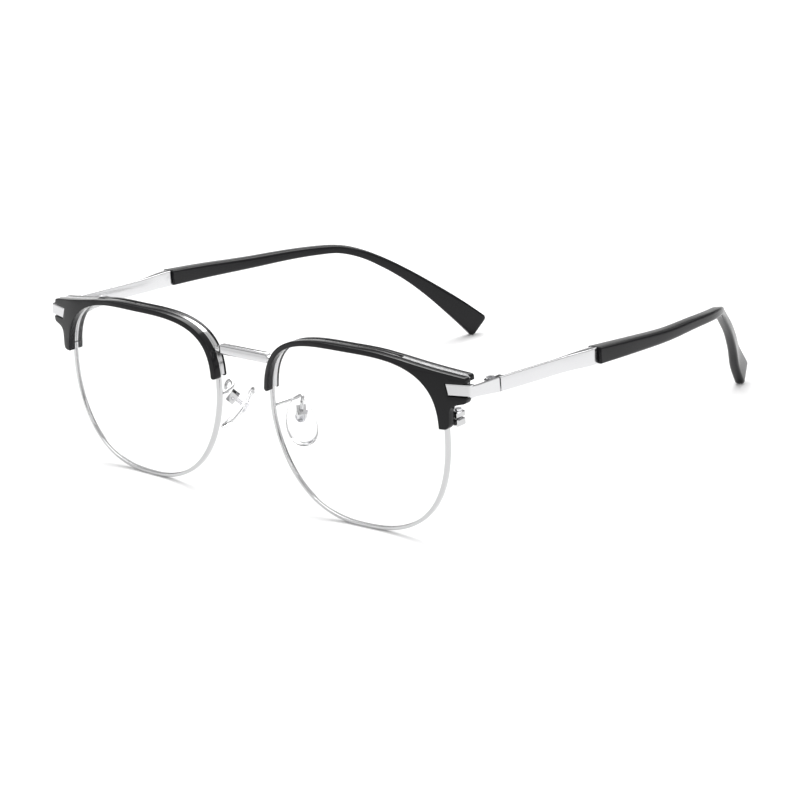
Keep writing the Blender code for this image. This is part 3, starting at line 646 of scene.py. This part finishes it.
# ---- nose pads -----------------------------------------------------------------------
def nose_pad():
    """A clear domed drop, bowed towards the nose."""
    rings = []
    for degrees in range(8, 180, 12):
        share = math.sin(math.radians(degrees))
        depth = -0.5 * math.cos(math.radians(degrees))
        close = min(1.0, share * 3)
        ring = []
        for step in range(PAD_POINTS):
            angle = 2 * math.pi * step / PAD_POINTS
            egg = 1 + PAD_EGG * math.cos(angle)
            long = math.cos(angle) * (0.55 + 0.45 * share) * close
            wide = math.sin(angle) * (0.45 + 0.55 * share) * close * egg
            lift = depth * PAD_THICKNESS - PAD_BOW * (1 - long * long)
            ring.append(PAD_CENTRE + PAD_LONG * PAD_LENGTH / 2 * long
                        + PAD_ACROSS * PAD_WIDTH / 2 * wide + PAD_OUT * lift)
        rings.append(ring)
    return loft(rings)


def pad_insert():
    """The metal core seen inside the clear pad: an oval plate and a stem up to the pivot."""
    base = PIVOT - PAD_OUT * (PIVOT_OUT + PAD_BOW - CORE_INSET)
    turns = [2 * math.pi * step / CORE_POINTS for step in range(CORE_POINTS)]
    return loft([[base + PAD_LONG * reach * CORE_STRETCH * math.cos(turn)
                  + PAD_ACROSS * reach * math.sin(turn) + PAD_OUT * lift for turn in turns]
                 for reach, lift in CORE_PROFILE])


def pad_arm(name, look, side):
    """Bent wire from the back of the rim to the pad's box."""
    foot = on_front(*ARM_FOOT, WIRE_DEPTH)
    end = PIVOT + PAD_OUT * ARM_REACH
    route = [foot + Vector(step) for step in ARM_LEAVING]
    route += [end + Vector(step) for step in ARM_ARRIVING]
    curve = bpy.data.curves.new(name, "CURVE")
    curve.dimensions = "3D"
    curve.bevel_depth = ARM_RADIUS * MM
    curve.bevel_resolution = 5
    curve.resolution_u = 14
    curve.use_fill_caps = True
    line = curve.splines.new("BEZIER")
    line.bezier_points.add(len(route) - 1)
    for mark, place in zip(line.bezier_points, route):
        place = (place + SEAT) * MM
        mark.co = (place.x * side, place.y, place.z)
        mark.handle_left_type = mark.handle_right_type = "AUTO"
    curve.materials.append(look)
    made = bpy.data.objects.new(name, curve)
    bpy.context.scene.collection.objects.link(made)
    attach(made, "front")
    return made


def soften(node, look, width):
    """Keep a CAD node, with its edges broken and a better finish."""
    item = NODES[node]
    edge = item.modifiers.new("edge", "BEVEL")
    edge.width = width * MM
    edge.segments = 2
    edge.limit_method = "ANGLE"
    edge.angle_limit = SOFTENED_ANGLE
    for index in range(len(item.material_slots)):
        item.material_slots[index].material = look


def build():
    silver = polished_metal("silver", (0.56, 0.56, 0.565), 0.12)
    # the same plating as the rim in a lighter grey: the extra lightness is painted sheen for the
    # brighter reflection the temples catch, and the bridge and endpieces share it
    bright = polished_metal("silver_painted_sheen", (0.66, 0.66, 0.67), 0.16, (1.0, 0.15, 1.0))
    steel = polished_metal("steel", (0.7, 0.7, 0.72), 0.2)
    black = black_plastic("acetate", 0.14)
    tip_black = black_plastic("tip_plastic", 0.22)
    clear, soft = clear_lens(), clear_silicone()
    bar = finish_piece("bridge_bar", bridge(), bright, "front")
    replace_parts(bar, "bridge")
    # name, shape, look, CAD node that it replaces, material slot
    front = (("rim", eyewire, silver, "eyewire", "silver_metal"),
             ("glass", lens, clear, "lens", "clear_lens"),
             ("brow", brow_front, black, "brow_front", "black_acetate"),
             ("brow_back", brow_rear, black, "brow_rear", "black_acetate"))
    rear = (("side_arm", temple, bright, "temple", "silver_metal"),
            ("ear_tip", temple_tip, tip_black, "temple_tip", "black_acetate"))
    # CAD node that stays, look, width of its broken edges
    kept = (("endpiece", bright, 0.08), ("lock_upper", silver, 0.1), ("lock_lower", silver, 0.1),
            ("lock_screw", steel, 0.06), ("pad_box", silver, 0.08), ("pad_screw", steel, 0.05),
            ("hinge_screw", steel, 0.05), ("hinge_case", silver, 0.1))
    for tag, side in SIDES:
        for name, shape, look, node, slot in front:
            made = finish_piece(f"{name}_{tag}", shape(), look, "front", side)
            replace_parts(made, f"{node}_{tag}")
        finish_piece("brow_liner_" + tag, brow_liner(), silver, "front", side)
        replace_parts(pad_arm("arm_" + tag, silver, side), "pad_arm_" + tag)
        for name, shape, look, node, slot in rear:
            made = finish_piece(f"{name}_{tag}", shape(), look, "temple_" + tag, side)
            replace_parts(made, f"{node}_{tag}")
        pad = finish_piece("pad_" + tag, nose_pad(), soft, "pad_" + tag, side)
        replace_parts(pad, "nose_pad_" + tag)
        finish_piece("pad_core_" + tag, pad_insert(), steel, "pad_" + tag, side)
        for node, look, width in kept:
            soften(f"{node}_{tag}", look, width)


add_camera()
add_studio()
build()
